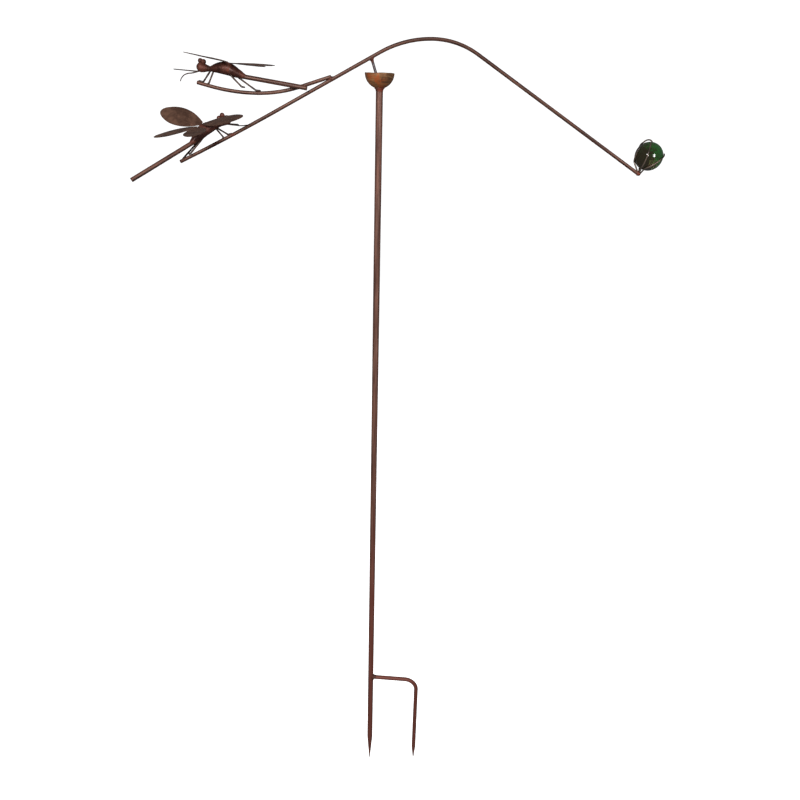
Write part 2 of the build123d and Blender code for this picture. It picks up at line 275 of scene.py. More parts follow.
def bar_mesh(points, radii, sides=28, ends=("square", "square"), lumps=0.0, seed=0.0, reference=(0, 1, 0.01)):
    """A solid bar round a path: verts, faces, bar, rim. Ends are square with a broken edge, or round."""
    points = np.array(points, float)
    radii = np.broadcast_to(np.array(radii, float), (len(points),)).copy()
    tangents, across, up = carried_frames(points, np.array(reference, float))
    travel = np.concatenate(([0], np.cumsum(np.linalg.norm(np.diff(points, axis=0), axis=1))))
    rings = [(p, a, u, r, s, 0.0) for p, a, u, r, s in zip(points, across, up, radii, travel)]

    def end_rings(index, way, form):
        p, a, u, r, s, _ = rings[index]
        t = tangents[index] * way
        if form == "round":
            steps = np.linspace(0, math.pi / 2, 6)[1:-1]
            return [(p + t * r * math.sin(q), a, u, r * math.cos(q), s, 0.2) for q in steps]
        edge = min(0.45, 0.2 * r)
        return [
            (p + t * edge * 0.6, a, u, r - edge * 0.4, s, 0.8),
            (p + t * edge, a, u, r - edge * 1.3, s, 0.9),
            (p + t * edge, a, u, r * 0.5, s, 0.5),
        ]

    def pulled_in(index, way, form):
        """Moves the end ring in, so that the bar keeps its length with its end on."""
        p, a, u, r, s, w = rings[index]
        edge = r if form == "round" else min(0.45, 0.2 * r)
        reach = np.linalg.norm(points[-1 if index else 0] - points[-2 if index else 1])
        rings[index] = (p - tangents[index] * way * min(edge, reach * 0.95), a, u, r, s, w)

    pulled_in(0, -1, ends[0])
    pulled_in(len(rings) - 1, 1, ends[1])
    first = end_rings(0, -1, ends[0])[::-1]
    last = end_rings(len(rings) - 1, 1, ends[1])
    rings = first + rings + last
    verts, bar, rim = [], [], []
    for p, a, u, r, s, worn in rings:
        for j in range(sides):
            q = 2 * math.pi * j / sides
            outward = a * math.cos(q) + u * math.sin(q)
            spot = p + outward * r
            swell = lumps * (waver(spot, 9.0, seed) + 0.5 * waver(spot, 3.5, seed + 3)) if lumps else 0.0
            verts.append(spot + outward * swell)
            bar.append((r * math.cos(q), r * math.sin(q), s))
            rim.append(worn)
    faces = grid_faces(len(rings), sides)
    for ring, t, form in ((0, -tangents[0], ends[0]), (len(rings) - 1, tangents[-1], ends[1])):
        p, _, _, r, s, _ = rings[ring]
        verts.append(p + t * (r * 0.12 if form == "round" else 0.0))
        bar.append((0, 0, s))
        rim.append(0.3)
        faces += fan_faces(ring * sides, sides, len(verts) - 1, ring == 0)
    return verts, faces, bar, rim


def lathe_mesh(profile, origin, axis, sides=48, shape=None, rim_of=None):
    """A closed form turned round an axis. profile is (radius, height), and both its ends lie on the axis."""
    axis = unit(np.array(axis, float))
    a = unit(np.cross(axis, vec(0.3, 1, 0.2)))
    b = np.cross(axis, a)
    verts, rim = [], []
    inner = profile[1:-1]
    for i, (r, h) in enumerate(inner):
        for j in range(sides):
            q = 2 * math.pi * j / sides
            outward = a * math.cos(q) + b * math.sin(q)
            spot = origin + axis * h + outward * r
            if shape:
                spot = shape(spot, outward, q, r, h)
            verts.append(spot)
            rim.append(rim_of(r, h, i) if rim_of else 0.0)
    faces = grid_faces(len(inner), sides)
    for end, base in ((0, 0), (-1, (len(inner) - 1) * sides)):
        verts.append(origin + axis * profile[end][1])
        rim.append(0.0)
        faces += fan_faces(base, sides, len(verts) - 1, end == 0)
    return verts, faces, None, rim


def bead_mesh(loop, radius, ripples, sides=14, seed=0.0):
    """A weld bead laid round a closed loop, with the ripples of its passes."""
    loop = np.array(loop, float)
    n = len(loop)
    verts, bar, rim = [], [], []
    middle = loop.mean(axis=0)
    for i, p in enumerate(loop):
        t = unit(loop[(i + 1) % n] - loop[i - 1])
        out = unit((p - middle) - t * (p - middle).dot(t))
        up = np.cross(t, out)
        turn = i / n
        wave = abs(math.sin(math.pi * ripples * turn))
        r = radius * (0.86 + 0.2 * wave + 0.12 * waver(p, 4.0, seed))
        for j in range(sides):
            q = 2 * math.pi * j / sides
            verts.append(p + (out * math.cos(q) + up * math.sin(q)) * r)
            bar.append((r * math.cos(q), r * math.sin(q), turn * 40))
            rim.append(0.35 * (1 - wave))
    faces = []
    for i in range(n):
        for j in range(sides):
            k, m = (j + 1) % sides, (i + 1) % n
            faces.append((i * sides + j, i * sides + k, m * sides + k, m * sides + j))
    return verts, faces, bar, rim


def joined(*parts):
    """Several closed forms as one mesh."""
    verts, faces, bar, rim = [], [], [], []
    for v, f, b, r in parts:
        offset = len(verts)
        verts += list(v)
        faces += [tuple(i + offset for i in face) for face in f]
        bar += list(v if b is None else b)
        rim += list(r)
    return verts, faces, bar, rim


# ---- materials -------------------------------------------------------------------------------
def srgb(r, g, b):
    """A colour given as it looks on screen, 0 to 255."""
    levels = (r / 255, g / 255, b / 255)
    return tuple(c / 12.92 if c <= 10 / 255 else ((c + 0.055) / 1.055) ** 2.4 for c in levels) + (1,)


class Nodes:
    """A short way to write node trees."""

    def __init__(self, name):
        self.material = bpy.data.materials.new(name)
        self.material.use_nodes = True
        self.tree = self.material.node_tree
        self.shader = self.tree.nodes["Principled BSDF"]

    def add(self, kind, **settings):
        node = self.tree.nodes.new(kind)
        for key, value in settings.items():
            setattr(node, key, value)
        return node

    def link(self, source, target):
        self.tree.links.new(source, target)
        return target

    def noise(self, coords, scale, detail=4.0, distortion=0.0, roughness=0.55):
        node = self.add("ShaderNodeTexNoise")
        self.link(coords, node.inputs["Vector"])
        node.inputs["Scale"].default_value = scale
        node.inputs["Detail"].default_value = detail
        node.inputs["Roughness"].default_value = roughness
        node.inputs["Distortion"].default_value = distortion
        return node.outputs["Fac"]

    def stretched(self, coords, scale):
        node = self.add("ShaderNodeMapping")
        node.inputs["Scale"].default_value = scale
        self.link(coords, node.inputs["Vector"])
        return node.outputs["Vector"]

    def ramp(self, value, low, high):
        node = self.add("ShaderNodeMapRange", interpolation_type="SMOOTHSTEP")
        self.link(value, node.inputs["Value"])
        node.inputs["From Min"].default_value = low
        node.inputs["From Max"].default_value = high
        return node.outputs["Result"]

    def math(self, operation, a, b=None):
        node = self.add("ShaderNodeMath", operation=operation)
        for socket, value in zip(node.inputs, (a, b)):
            if value is None:
                continue
            if isinstance(value, (int, float)):
                socket.default_value = value
            else:
                self.link(value, socket)
        return node.outputs[0]

    def mix(self, factor, a, b, blend="MIX"):
        node = self.add("ShaderNodeMix", data_type="RGBA", blend_type=blend)
        for socket, value in ((node.inputs[0], factor), (node.inputs[6], a), (node.inputs[7], b)):
            if isinstance(value, (tuple, float, int)):
                socket.default_value = value
            else:
                self.link(value, socket)
        return node.outputs[2]

    def attribute(self, name):
        return self.add("ShaderNodeAttribute", attribute_name=name)

    def object_coords(self):
        return self.add("ShaderNodeTexCoord").outputs["Object"]


def patina(
    name, mid, dark, light, rust, rust_at=0.60, metal=0.30, rough=(0.36, 0.62), streaks=0.5,
    redder_below=None, grain=(420, 420, 14), lumps=None,
):
    """Oxidised steel under clear lacquer: blotches, drawn streaks, rust bloom, speckle and worn edges."""
    n = Nodes(name)
    bar = n.attribute("bar").outputs["Vector"]
    place = n.object_coords()
    blotch = n.noise(n.stretched(bar, lumps), 1.0, 5, 0.6) if lumps else n.noise(place, 55, 5, 0.6)
    streak = n.noise(n.stretched(bar, grain), 1.0, 3)
    speckle = n.noise(place, 900, 3)
    bloom = n.noise(place, 38, 6, 1.6, 0.65)
    colour = n.mix(n.ramp(blotch, 0.36, 0.64), dark, mid)
    colour = n.mix(n.math("MULTIPLY", n.ramp(streak, 0.46, 0.72), streaks), colour, light)
    if redder_below:
        height = n.add("ShaderNodeSeparateXYZ")
        n.link(place, height.inputs[0])
        wavering = n.math("ADD", height.outputs["Z"], n.math("MULTIPLY", blotch, 0.35))
        low = n.math("SUBTRACT", 1.0, n.ramp(wavering, redder_below[0], redder_below[1]))
        colour = n.mix(n.math("MULTIPLY", low, 0.75), colour, redder_below[2])
    bloomed = n.ramp(bloom, rust_at, rust_at + 0.13)
    colour = n.mix(n.math("MULTIPLY", bloomed, 0.8), colour, rust)
    colour = n.mix(n.math("MULTIPLY", n.ramp(speckle, 0.52, 0.70), 0.45), colour, dark)
    worn = n.math("MULTIPLY", n.attribute("rim").outputs["Fac"], n.ramp(speckle, 0.34, 0.6))
    colour = n.mix(n.math("MULTIPLY", worn, 0.8), colour, tuple(c * 0.35 for c in dark[:3]) + (1,))
    n.link(colour, n.shader.inputs["Base Color"])
    n.shader.inputs["Metallic"].default_value = metal
    uneven = n.math("ADD", blotch, n.math("MULTIPLY", speckle, 0.6))
    roughness = n.math("ADD", n.math("MULTIPLY", uneven, rough[1] - rough[0]), rough[0] - 0.08)
    roughness = n.math("ADD", roughness, n.math("MULTIPLY", bloomed, 0.18))
    n.link(roughness, n.shader.inputs["Roughness"])
    n.shader.inputs["Specular IOR Level"].default_value = 0.3
    n.shader.inputs["Coat Weight"].default_value = 0.05
    n.shader.inputs["Coat Roughness"].default_value = 0.28
    height = n.math("ADD", n.math("MULTIPLY", n.noise(place, 1500, 3), 0.5), n.noise(place, 260, 4))
    height = n.math("ADD", height, n.math("MULTIPLY", streak, 0.5))
    bump = n.add("ShaderNodeBump")
    bump.inputs["Strength"].default_value = 0.35
    bump.inputs["Distance"].default_value = 0.0004
    n.link(height, bump.inputs["Height"])
    n.link(bump.outputs["Normal"], n.shader.inputs["Normal"])
    return n.material


STAKE = patina(
    "patina_stake",
    srgb(112, 76, 64), srgb(74, 46, 38), srgb(140, 106, 92), srgb(120, 56, 38),
    redder_below=(0.35, 0.75, srgb(112, 58, 48)), streaks=0.45, rust_at=0.62, lumps=(190, 190, 11),
)
ROD = patina(
    "patina_rod",
    srgb(94, 60, 48), srgb(52, 30, 24), srgb(122, 88, 72), srgb(102, 48, 33), streaks=0.5, rust_at=0.58,
    lumps=(260, 260, 16),
)
BODY = patina(
    "patina_body",
    srgb(100, 56, 45), srgb(54, 26, 20), srgb(122, 80, 64), srgb(116, 56, 36), rust_at=0.58, streaks=0.25,
)
CUP = patina(
    "patina_cup",
    srgb(132, 88, 54), srgb(88, 58, 38), srgb(160, 126, 84), srgb(156, 74, 30),
    rust_at=0.48, streaks=0.8, metal=0.35, rough=(0.34, 0.6), grain=(40, 40, 620),
)
SHEET = patina(
    "patina_sheet",
    srgb(100, 72, 58), srgb(68, 46, 36), srgb(118, 90, 74), srgb(96, 54, 40), rust_at=0.62, streaks=0.3,
)
WELD = patina(
    "patina_weld",
    srgb(98, 56, 44), srgb(54, 28, 22), srgb(126, 84, 68), srgb(122, 52, 34), rust_at=0.50, streaks=0.2,
)
PIN = patina(
    "pin_steel",
    srgb(74, 66, 68), srgb(40, 34, 38), srgb(112, 102, 102), srgb(84, 60, 54),
    rust_at=0.68, metal=0.6, rough=(0.3, 0.5), streaks=0.8,
)
WIRE = patina(
    "patina_wire",
    srgb(66, 48, 42), srgb(34, 25, 23), srgb(104, 86, 76), srgb(78, 42, 32),
    rust_at=0.62, metal=0.4, rough=(0.34, 0.55),
)
CLAW = patina(
    "patina_claw",
    srgb(104, 88, 78), srgb(50, 42, 40), srgb(148, 134, 118), srgb(98, 66, 52),
    rust_at=0.66, metal=0.55, rough=(0.26, 0.44),
)


def green_glass(centre):
    """Solid bottle glass tinted dark greenish brown, its tint split by side as painted light: darker brown
    through its left half as painted shade, and a brighter, greener painted glow high on its right.
    """
    n = Nodes("green_glass")
    place = n.object_coords()
    apart = n.add("ShaderNodeSeparateXYZ")
    n.link(place, apart.inputs[0])
    # Painted light: the mask below rises towards the right and upwards, so the tint becomes a painted glow on
    # the upper right and painted shade on the lower left; noise wobbles its border.
    right = n.math("MULTIPLY", n.math("SUBTRACT", apart.outputs["X"], centre[0] * MM), 0.8)
    height = n.math("MULTIPLY", n.math("SUBTRACT", apart.outputs["Z"], centre[2] * MM), 0.5)
    border_wobble = n.math("MULTIPLY", n.noise(place, 60, 5, 2.6), 0.05)
    glow_side = n.ramp(n.math("ADD", n.math("ADD", right, height), border_wobble), 0.021, 0.041)
    colour = n.mix(glow_side, srgb(40, 31, 17), srgb(28, 92, 34))
    swirl = n.ramp(n.noise(place, 90, 4, 2.4), 0.5, 0.66)
    colour = n.mix(n.math("MULTIPLY", swirl, 0.5), colour, srgb(34, 30, 18))
    n.link(colour, n.shader.inputs["Base Color"])
    n.shader.inputs["Roughness"].default_value = 0.03
    n.shader.inputs["IOR"].default_value = 1.5
    n.shader.inputs["Transmission Weight"].default_value = 0.55
    n.shader.inputs["Coat Weight"].default_value = 0.3
    n.shader.inputs["Coat Roughness"].default_value = 0.02
    bump = n.add("ShaderNodeBump")
    bump.inputs["Strength"].default_value = 0.08
    bump.inputs["Distance"].default_value = 0.0006
    n.link(n.noise(place, 60, 2), bump.inputs["Height"])
    n.link(bump.outputs["Normal"], n.shader.inputs["Normal"])
    return n.material


# ---- stake -----------------------------------------------------------------------------------
def weld_flare(start, end, small_r, large_r, origin, axis, ripples, seed):
    """The collar of a fillet weld, with its ripples round the wide end."""
    profile = [(0, start)]
    for t in np.linspace(0, 1, 14):
        r = small_r + (large_r - small_r) * t**2.2
        profile.append((r, start + (end - start) * t))
    profile.append((0, end))

    def shape(spot, outward, q, r, h):
        depth = (h - start) / (end - start)
        ripple = abs(math.sin(ripples * q / 2 + 2.2 * depth))
        return spot + outward * depth * (0.45 * ripple + 0.5 * waver(spot, 4.0, seed) - 0.25)

    return lathe_mesh(profile, origin, axis, 64, shape, lambda r, h, i: 0.15)


def build_stake():
    top = CUP_Z - math.sqrt(CUP_R**2 - POLE_R**2) + 0.5
    heights = np.arange(0.6, top, 2.5)
    pole_path = [vec(0, 0, z) for z in heights] + [vec(0, 0, top)]
    pole = bar_mesh(pole_path, POLE_R, 36, lumps=0.07, seed=1.0)
    mesh_object("pole_tube", *pole[:2], STAKE, "stand", "rusted_stake", ["pole"], *pole[2:])

    wall = np.arange(0.6, SPIKE_SHOULDER, -3.0)
    taper = np.linspace(SPIKE_SHOULDER, SPIKE_TIP, 30)
    path = [vec(0, 0, z) for z in list(wall) + list(taper)]
    share = (SPIKE_SHOULDER - taper) / (SPIKE_SHOULDER - SPIKE_TIP)
    radii = [POLE_R] * len(wall) + list(POLE_R + (TIP_BLUNT_R - POLE_R) * share)
    spike = bar_mesh(path, radii, 36, lumps=0.07, seed=1.0)
    seam = oval(vec(0, 0, 0.2), X, Y, POLE_R - 0.35, POLE_R - 0.35, 90)
    spike = joined(spike, bead_mesh(seam, 0.75, 26, 10, 4.0))
    mesh_object("ground_spike", *spike[:2], STAKE, "stand", "rusted_stake", ["pole_spike"], *spike[2:])

    run = line_points((0, PRONG_Z), -PRONG_SLOPE, PRONG_BAR)
    bend = arc_points(run[-1], -PRONG_SLOPE, PRONG_BEND_R, PRONG_SLOPE - 90)
    down = [(bend[-1][0], z) for z in np.arange(bend[-1][1] - 2, PRONG_SHOULDER, -2.5)]
    tip = np.linspace(PRONG_SHOULDER, PRONG_TIP, 20)
    flat = run[1:] + bend[1:] + down + [(bend[-1][0], z) for z in tip]
    share = (PRONG_SHOULDER - tip) / (PRONG_SHOULDER - PRONG_TIP)
    radii = [PRONG_R] * (len(flat) - len(tip)) + list(PRONG_R + (TIP_BLUNT_R - PRONG_R) * share)
    prong = bar_mesh([vec(x, 0, z) for x, z in flat], radii, 30, lumps=0.08, seed=2.0)
    mesh_object("foot_leg", *prong[:2], STAKE, "stand", "rusted_stake", ["foot_prong"], *prong[2:])

    saddle = []
    for q in np.linspace(0, 2 * math.pi, 73)[:-1]:
        y, z = (PRONG_R + 0.5) * math.cos(q), (PRONG_R + 0.5) * math.sin(q)
        saddle.append(vec(math.sqrt(POLE_R**2 - y**2) + 0.2, y, PRONG_Z - 0.3 + z))
    collar = weld_flare(-12.5, -3.5, PRONG_R, PRONG_R + 2.6, vec(0, 0, PRONG_Z), (-1, 0, 0), 22, 3.0)
    weld = joined(collar, bead_mesh(saddle, 1.7, 24, 12, 5.0))
    mesh_object("foot_weld_bead", *weld[:2], WELD, "stand", "weld_bead", ["foot_prong_weld"], *weld[2:])


def build_cup():
    """A pressed bowl: outer wall from the base up, rolled rim, and down the inside."""
    inner_r = CUP_R - CUP_WALL
    rim_r = CUP_WALL / 2
    middle = CUP_R - rim_r
    over = np.linspace(0.1, math.pi - 0.1, 9)
    profile = [(0, -CUP_R)]
    profile += round_profile(CUP_R, 46, 0.02, math.pi / 2 - 0.03)
    profile += [(middle + rim_r * math.cos(q), -0.75 + 0.7 * math.sin(q)) for q in over]
    profile += round_profile(inner_r, 40, math.pi / 2 - 0.03, 0.02)
    profile.append((0, -inner_r))
    centre = vec(0, 0, CUP_Z)

    def shape(spot, outward, q, r, h):
        if math.hypot(r, h) < CUP_R - CUP_WALL / 2 and r < 14:
            return spot
        dent = 0.22 * waver(spot, 6.0, 8.0) + 0.12 * waver(spot, 2.6, 2.0)
        lip = max(0.0, (h + 6) / 6) * (0.35 * math.sin(3 * q + 0.6) + 0.2 * math.sin(7 * q))
        return spot + outward * min(dent, 0.25) + Z * min(0.0, lip - 0.35) * 0.8

    bowl = lathe_mesh(profile, centre, Z, 96, shape, lambda r, h, i: max(0.0, (h + 2.6) / 2.6) * 0.8)
    mesh_object("cup_bowl", *bowl[:2], CUP, "stand", "rusted_cup", ["cup"], bowl[2], bowl[3])

    base = CUP_Z - CUP_R
    collar = weld_flare(-4.6, 2.4, POLE_R + 0.3, POLE_R + 3.0, vec(0, 0, base), Z, 26, 6.0)
    seat = oval(vec(0, 0, base + 0.7), X, Y, POLE_R + 1.3, POLE_R + 1.3, 84)
    weld = joined(collar, bead_mesh(seat, 1.4, 30, 12, 7.0))
    mesh_object("cup_weld_bead", *weld[:2], WELD, "stand", "weld_bead", ["cup_weld"], *weld[2:])


# ---- rocker ----------------------------------------------------------------------------------
def arm_path():
    left = arc_points(ARM_APEX, 180, ARM_LEFT_R, ARM_LEFT_DROP)
    left += line_points(left[-1], 180 + ARM_LEFT_DROP, ARM_LEFT_RUN)[1:]
    left += arc_points(left[-1], 180 + ARM_LEFT_DROP, ARM_TIP_R, -ARM_TIP_LIFT, 3.0)[1:]
    right = arc_points(ARM_APEX, 0, ARM_RIGHT_R, -ARM_RIGHT_DROP)
    right += line_points(right[-1], -ARM_RIGHT_DROP, ARM_RIGHT_RUN)[1:]
    return [side_view(x, z) for x, z in left[::-1] + right[1:]]


def branch_path():
    tip = arc_points(BRANCH_LOW, 180, BRANCH_TIP_R, -BRANCH_TIP_RISE)
    tip += line_points(tip[-1], 180 - BRANCH_TIP_RISE, BRANCH_TIP_RUN)[1:]
    root = arc_points(BRANCH_LOW, 0, BRANCH_ROOT_R, BRANCH_ROOT_RISE)
    root += line_points(root[-1], BRANCH_ROOT_RISE, BRANCH_ROOT_RUN)[1:]
    return [side_view(x, z) for x, z in tip[::-1] + root[1:]]


def build_arm():
    arm = bar_mesh(arm_path(), ROD_R, 28, lumps=0.09, seed=11.0)
    mesh_object("arm_bar", *arm[:2], ROD, "rocker", "rusted_rod", ["arm"], *arm[2:])
    branch = bar_mesh(branch_path(), ROD_R, 28, lumps=0.09, seed=12.0)
    mesh_object("branch_bar", *branch[:2], ROD, "rocker", "rusted_rod", ["branch"], *branch[2:])

    low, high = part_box("branch_weld")
    joint = np.array((low + high) / 2) / MM
    along = vec(math.cos(math.radians(ARM_LEFT_DROP)), 0, math.sin(math.radians(ARM_LEFT_DROP)))
    loop = oval(joint, along, Y, 4.6, 2.6, 60)
    spots = [joint - along * 4.2, joint - along * 1.5, joint + along * 1.5, joint + along * 4.2]
    blob = bar_mesh(spots, [3.1, 4.1, 4.1, 3.1], 24, ("round", "round"), 0.35, 13.0)
    weld = joined(bead_mesh(loop, 1.5, 18, 12, 14.0), blob)
    mesh_object("branch_weld_bead", *weld[:2], WELD, "rocker", "weld_bead", ["branch_weld"], *weld[2:])


def build_pin():
    lean = math.radians(PIN_LEAN)
    axis = vec(-math.sin(lean), 0, math.cos(lean))
    start = TIP_R + 0.35
    path = [PIVOT + axis * d for d in np.arange(start, PIN_LENGTH, 1.0)]
    pin = bar_mesh(path, PIN_R, 24, lumps=0.05, seed=15.0)
    mesh_object("pivot_pin_bar", *pin[:2], PIN, "rocker", "dark_pin_steel", ["pivot_pin"], *pin[2:])
    collar = weld_flare(PIN_LENGTH - 8.5, PIN_LENGTH - 1.8, PIN_R, PIN_R + 1.6, PIVOT, axis, 18, 16.0)
    slope = math.radians(ARM_LEFT_DROP)
    along = vec(math.cos(slope), 0, math.sin(slope))
    middle = PIVOT + axis * (PIN_LENGTH - 2.4)
    loop = oval(middle, along, Y, 3.5, 2.9, 60)
    weld = joined(collar, bead_mesh(loop, 1.15, 20, 12, 17.0))
    mesh_object("pivot_pin_weld_bead", *weld[:2], WELD, "rocker", "weld_bead", ["pivot_pin_weld"], *weld[2:])

    ball = lathe_mesh(round_profile(TIP_R, 25), PIVOT, Z, 36)
    mesh_object("pivot_ball", *ball[:2], PIN, "pivot", "dark_pin_steel", ["pivot_tip"], *ball[2:])


# ---- glass ball in its claws -----------------------------------------------------------------
CLAWS = {
    "front": ((0.2, -2.0, 2.2), (222, -45), (244, -9), (253, 64)),
    "right": ((2.2, -1.2, 1.2), (240, -49), (305, -9), (354, 11)),
    "left": ((-1.8, -0.6, 2.6), (172, -25), (192, -2), (202, 33)),
    "back": ((0.4, 2.2, 2.4), (120, -46), (128, 25), (163, 62)),
}
HOOK = (((200, 81.5), 2.0), ((270, 73), 0.0))


def circle_through(a, b, c, step=1.2):
    """Points on the arc from a through b to c."""
    u, v = b - a, c - a
    normal = np.cross(u, v)
    to_centre = (np.cross(normal, u) * v.dot(v) + np.cross(v, normal) * u.dot(u)) / (2 * normal.dot(normal))
    centre = a + to_centre
    x = unit(a - centre)
    y = np.cross(unit(normal), x)
    radius = np.linalg.norm(a - centre)
    angle = math.atan2((c - centre).dot(y), (c - centre).dot(x)) % (2 * math.pi)
    count = max(6, int(radius * angle / step))
    return [centre + radius * (x * math.cos(q) + y * math.sin(q)) for q in np.linspace(0, angle, count)]


def build_ball():
    low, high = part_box("glass_ball")
    ball_at = np.array((low + high) / 2) / MM
    arm_end = arm_path()[-1]
    ball = lathe_mesh(round_profile(BALL_R, 73), ball_at, Z, 128)
    glass = green_glass(ball_at)
    mesh_object("green_ball", *ball[:2], glass, "rocker", "green_glass", ["glass_ball"], *ball[2:])

    def on_ball(longitude, latitude, lift=0.0):
        lo, la = math.radians(longitude), math.radians(latitude)
        out = vec(math.cos(la) * math.cos(lo), math.cos(la) * math.sin(lo), math.sin(la))
        return ball_at + out * (CLAW_SEAT + lift)

    for side, (start, foot, middle, end) in CLAWS.items():
        path = list(bar_between([arm_end + vec(*start), on_ball(*foot)], 1.2))
        path += circle_through(on_ball(*foot), on_ball(*middle), on_ball(*end))[1:]
        if side == "back":
            (over, rise), (down, lift) = HOOK
            path += circle_through(path[-1], on_ball(*over, rise), on_ball(*down, lift), 0.8)[1:]
        share = np.linspace(0, 1, len(path))
        radii = CLAW_R * (1 - 0.12 * share**3)
        claw = bar_mesh(path, radii, 16, ("square", "round"), 0.06, 20.0 + len(side))
        mesh_object(f"claw_{side}", *claw[:2], CLAW, "rocker", "dark_wire", [f"cage_claw_{side}"], *claw[2:])

    knot = arm_end + vec(-0.5, 0, 1.2)
    knot_r = 4.3

    def shape(spot, outward, q, r, h):
        swell = 0.45 * abs(math.sin(3.5 * q)) + 0.8 * waver(spot, 3.0, 21.0) - 0.35
        return spot + (spot - knot) / knot_r * swell

    profile = round_profile(knot_r, 22)
    blob = lathe_mesh(profile, knot, (0.85, 0, -0.53), 40, shape, lambda r, h, i: 0.2)
    mesh_object("claw_weld_bead", *blob[:2], WELD, "rocker", "weld_bead", ["cage_weld"], *blob[2:])


# ---- dragonflies -----------------------------------------------------------------------------
def turned(vector, pitch, yaw):
    """A vector turned about Y, then about Z, in degrees."""
    spin = Matrix.Rotation(math.radians(yaw), 3, "Z") @ Matrix.Rotation(math.radians(pitch), 3, "Y")
    return np.array(spin @ Vector(vector))


class Fly:
    """A dragonfly's own frame: X forward, Y to its left, Z up, origin on its tail's axis."""

    def __init__(self, name, origin, forward, pitch, yaw):
        self.name = name
        self.origin = PIVOT + vec(*origin)
        self.x = turned(forward, pitch, yaw)
        self.z = turned((0, 0, 1), pitch, yaw)
        self.y = np.cross(self.z, self.x)

    def at(self, x, y, z):
        return self.origin + self.x * x + self.y * y + self.z * z

    def matrix(self):
        m = Matrix.Identity(4)
        for column, axis in enumerate((self.x, self.y, self.z, self.origin)):
            for row in range(3):
                m[row][column] = axis[row]
        return m


def tail_mesh(fly, rear):
    """The tail tube: open at its rear end, where its wall shows."""
    bore = TAIL_R - TAIL_WALL
    profile_rings = [(x, TAIL_R, 0.0) for x in np.arange(TAIL_FRONT, rear + 0.4, -2.0)]
    profile_rings += [(rear + 0.25, TAIL_R, 0.6), (rear, TAIL_R - 0.25, 0.9)]
    profile_rings += [(rear, bore + 0.2, 0.9), (rear + 0.25, bore, 0.6)]
    profile_rings += [(rear + depth, bore, 0.9) for depth in (4, 12, 30)]
    sides = 32
    verts, bar, rim = [], [], []
    for x, r, worn in profile_rings:
        for j in range(sides):
            q = 2 * math.pi * j / sides
            outward = fly.y * math.cos(q) + fly.z * math.sin(q)
            spot = fly.at(x, 0, 0) + outward * r
            dent = 0.07 * waver(spot, 9.0, 30.0) if r > bore + 0.5 else 0.0
            verts.append(spot + outward * dent)
            bar.append((r * math.cos(q), r * math.sin(q), x))
            rim.append(worn)
    faces = grid_faces(len(profile_rings), sides)
    for ring, x in ((0, TAIL_FRONT), (len(profile_rings) - 1, rear + 30)):
        verts.append(fly.at(x, 0, 0))
        bar.append((0, 0, x))
        rim.append(1.0)
        faces += fan_faces(ring * sides, sides, len(verts) - 1, ring == 0)
    return verts, faces, bar, rim


def thorax_mesh(fly):
    """Hammered body: smooth sections through the stations, with faint ribs across the back."""
    knots = np.array([station[0] for station in THORAX], float)
    xs = np.linspace(knots[0], knots[-1], 54)
    columns = [cubic(knots, [station[i] for station in THORAX], xs) for i in (1, 2, 3)]
    sides = 44
    rings = []
    for x, low, high, width in zip(xs, *columns):
        rings.append((x, (low + high) / 2, (high - low) / 2, width / 2, 0.0))
    first, last = rings[0], rings[-1]
    front = [(last[0] + 0.5, last[1], last[2] * 0.8, last[3] * 0.8, 0.3)]
    back = [(first[0] - 0.5, first[1], first[2] * 0.8, first[3] * 0.8, 0.3)]
    rings = back + rings + front
    verts, rim = [], []
    for x, mid, half_high, half_wide, worn in rings:
        for j in range(sides):
            q = 2 * math.pi * j / sides
            y, z = half_wide * math.cos(q), half_high * math.sin(q)
            spot = fly.at(x, y, mid + z)
            outward = unit(fly.y * y / half_wide**2 + fly.z * z / half_high**2)
            top = max(0.0, math.sin(q))
            rib = -0.28 * top * math.exp(-((((x + 20) % 9.0) - 4.5) ** 2) / 0.7) if -24 < x < 27 else 0.0
            dent = 0.35 * waver(spot, 5.0, 40.0) + 0.2 * waver(spot, 2.2, 41.0)
            verts.append(spot + outward * (rib + dent * min(1.0, half_wide / 8)))
            rim.append(worn + (0.5 if rib < -0.12 else 0.0))
    faces = grid_faces(len(rings), sides)
    for ring in (0, len(rings) - 1):
        x, mid = rings[ring][0], rings[ring][1]
        verts.append(fly.at(x, 0, mid))
        rim.append(0.3)
        faces += fan_faces(ring * sides, sides, len(verts) - 1, ring == 0)
    return verts, faces, None, rim


def head_mesh(fly):
    """A rounded cone, narrow at the neck, with a rolled collar where it meets the body."""
    xs = np.linspace(0, 1, 40)
    spots = cubic((0, 0.30, 0.62, 0.86, 1.0), (NECK_R, 6.1, HEAD_R, 6.0, 0.0), xs)
    blunt = np.sqrt(np.clip(1 - np.clip((xs - 0.62) / 0.38, 0, 1) ** 2.2, 0, 1)) * HEAD_R
    radii = np.where(xs > 0.62, blunt, spots)
    skin = [(max(r, 0.05), x * HEAD_LENGTH) for x, r in zip(xs, radii)]
    profile = [(0, -0.5)] + skin[:-1] + [(0, HEAD_LENGTH)]
    origin = fly.at(HEAD_BACK, 0, HEAD_Z)

    def shape(spot, outward, q, r, h):
        dent = 0.25 * waver(spot, 4.5, 50.0) + 0.12 * waver(spot, 1.8, 51.0)
        return spot + outward * dent * min(1, r / 4)

    head = lathe_mesh(profile, origin, fly.x, 44, shape, lambda r, h, i: 0.5 if h < 1.5 else 0.0)
    collar = oval(origin + fly.x * 0.4, fly.y, fly.z, NECK_R - 0.1, NECK_R - 0.1, 48)
    return joined(head, bead_mesh(collar, 0.85, 16, 10, 52.0))


